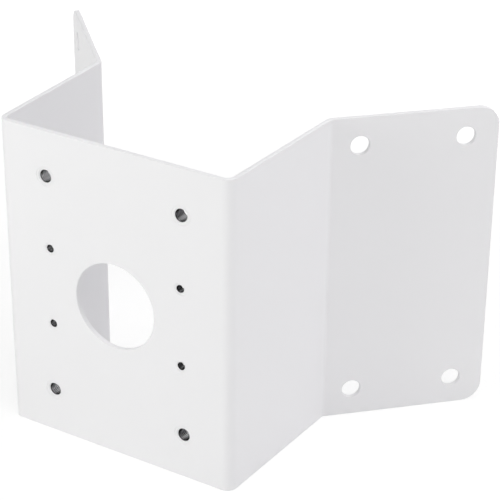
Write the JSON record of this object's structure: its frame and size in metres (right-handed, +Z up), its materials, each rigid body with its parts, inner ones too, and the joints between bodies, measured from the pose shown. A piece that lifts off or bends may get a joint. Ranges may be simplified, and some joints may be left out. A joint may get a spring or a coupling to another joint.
{
  "type": "camera bracket",
  "caption": "Folded steel corner bracket: a front plate with a cable hole and threaded camera mounts, side walls, and slanted flanges for an outside building corner.",
  "frame": {"origin": "below the middle of the bracket, on the plane of its bottom edge, half way between the front plate and the flanges' back corners", "axes": "+Z up, the front plate faces -Y, +X to the right seen from in front of the plate"},
  "size_m": [0.2788, 0.1578, 0.18],
  "materials": {
    "powder_coat": "satin white powder coat",
    "bare_thread": "bare cut thread"
  },
  "bodies": {
    "root": {"folded_sheet": "powder_coat", "m8_nut_top_left": "powder_coat", "m8_nut_top_right": "powder_coat", "m8_nut_bottom_left": "powder_coat", "m8_nut_bottom_right": "powder_coat", "m5_nut_top_left": "powder_coat", "m5_nut_top_right": "powder_coat", "m5_nut_bottom_left": "powder_coat", "m5_nut_bottom_right": "powder_coat"}
  },
  "joints": []
}
